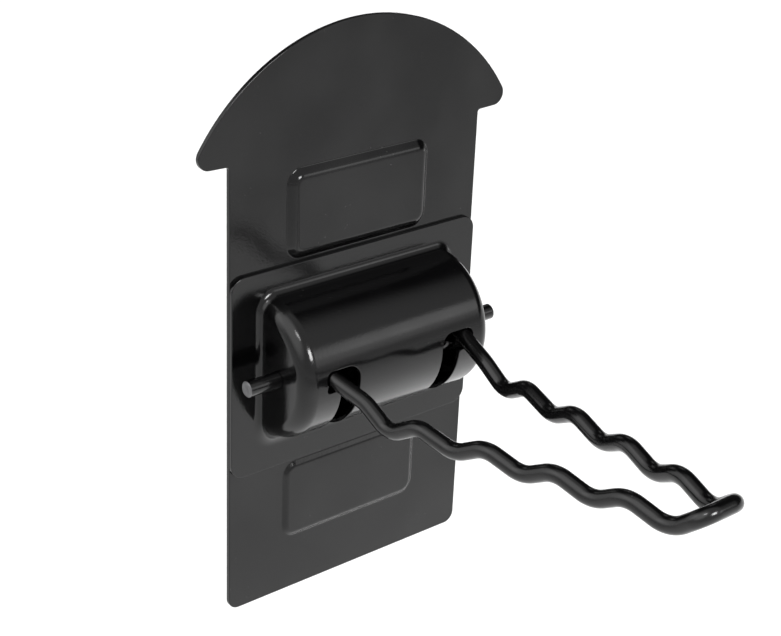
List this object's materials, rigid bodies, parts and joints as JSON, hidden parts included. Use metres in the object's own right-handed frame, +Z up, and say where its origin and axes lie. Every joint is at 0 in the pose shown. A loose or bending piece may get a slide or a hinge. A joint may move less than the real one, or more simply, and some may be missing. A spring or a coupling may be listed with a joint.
{
  "type": "bicycle wall rack",
  "caption": "Black steel wall rack that holds a bicycle by its frame on a folding wavy wire hook hinged inside a drum-shaped cover.",
  "frame": {"origin": "middle of the back plate's bottom edge, on the wall face", "axes": "+X to the right seen from the front, +Y into the wall, +Z up; the hook reaches out along -Y"},
  "size_m": [0.1834, 0.2452, 0.298],
  "materials": {
    "black_powder_coat": "satin black powder coat",
    "black_wire_coat": "satin black powder coat on 8 mm wire",
    "blackened_steel": "black oxide",
    "pin_steel": "black coat with bare cut ends"
  },
  "bodies": {
    "rack": {"back_plate": "black_powder_coat", "front_cover": "black_powder_coat", "left_pivot_bracket": "blackened_steel", "right_pivot_bracket": "blackened_steel", "hinge_pin": "pin_steel"},
    "hook": {"hook_wire": "black_wire_coat"}
  },
  "joints": [
    {"name": "hook_fold", "type": "hinge", "parent": "rack", "child": "hook", "pos_m": [0, -0.0188, 0.134], "axis": [1, 0, 0], "range_deg": [0, 88], "deforming": ["hook_wire"]}
  ]
}
